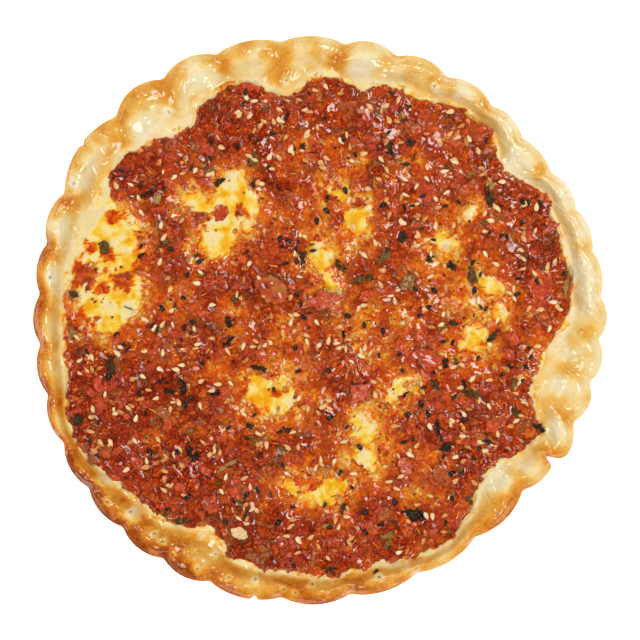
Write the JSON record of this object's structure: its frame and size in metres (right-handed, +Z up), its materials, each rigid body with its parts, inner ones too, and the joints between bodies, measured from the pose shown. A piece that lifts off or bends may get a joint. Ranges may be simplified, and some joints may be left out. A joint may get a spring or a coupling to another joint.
{
  "type": "muhammara cheese manakish",
  "caption": "Round crimped flat bread covered with molten cheese and a chopped red pepper spread with sesame and nigella seeds.",
  "frame": {"origin": "on the surface it rests on, under the middle of the bread's bounding box", "axes": "+Z up out of the topped face, +X to the side with the pale rim, +Y to the side with the golden crimps"},
  "size_m": [0.2058, 0.2038, 0.0137],
  "materials": {
    "baked_dough": "baked wheat dough, oiled, cream to golden brown",
    "molten_cheese": "melted yellow cheese, glossy with fat",
    "red_pepper_spread": "chopped red pepper and walnut paste, oily",
    "red_vegetable": "cooked tomato and red pepper, wet",
    "onion": "cooked onion, translucent and tan",
    "olive": "dark cooked olive, wet",
    "walnut": "chopped walnut, cream"
  },
  "bodies": {
    "root": {"dough_base": "baked_dough", "cheese": "molten_cheese", "muhammara": "red_pepper_spread", "tomato_piece": "red_vegetable", "tomato_chip": "red_vegetable", "pepper_piece": "red_vegetable", "onion_piece": "onion", "olive_piece": "olive", "walnut_piece": "walnut"}
  },
  "joints": []
}
